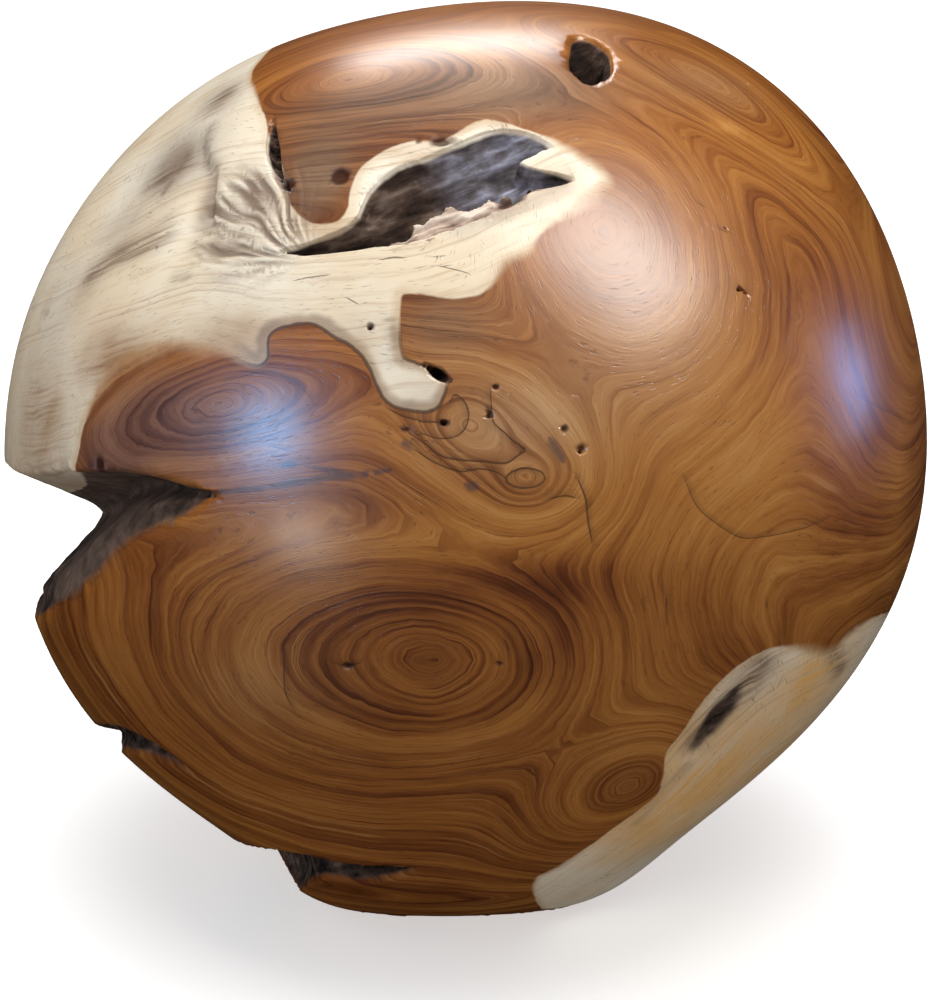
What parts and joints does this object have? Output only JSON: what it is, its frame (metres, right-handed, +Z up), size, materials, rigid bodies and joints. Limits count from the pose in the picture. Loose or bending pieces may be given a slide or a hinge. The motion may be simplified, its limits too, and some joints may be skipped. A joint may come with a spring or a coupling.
{
  "type": "teak root ball",
  "caption": "Solid decorative ball carved from root wood, with natural hollows and clefts, cream sapwood patches and a sawn flat that it stands on.",
  "frame": {"origin": "on the sawn flat underneath, straight below the middle of the ball", "axes": "+Z up out of the flat, -Y towards the front that shows the wing-shaped hollow, +X to the viewer's right"},
  "size_m": [0.3001, 0.3, 0.2904],
  "materials": {
    "root_wood": "satin"
  },
  "bodies": {
    "root": {"root_ball": "root_wood"}
  },
  "joints": []
}
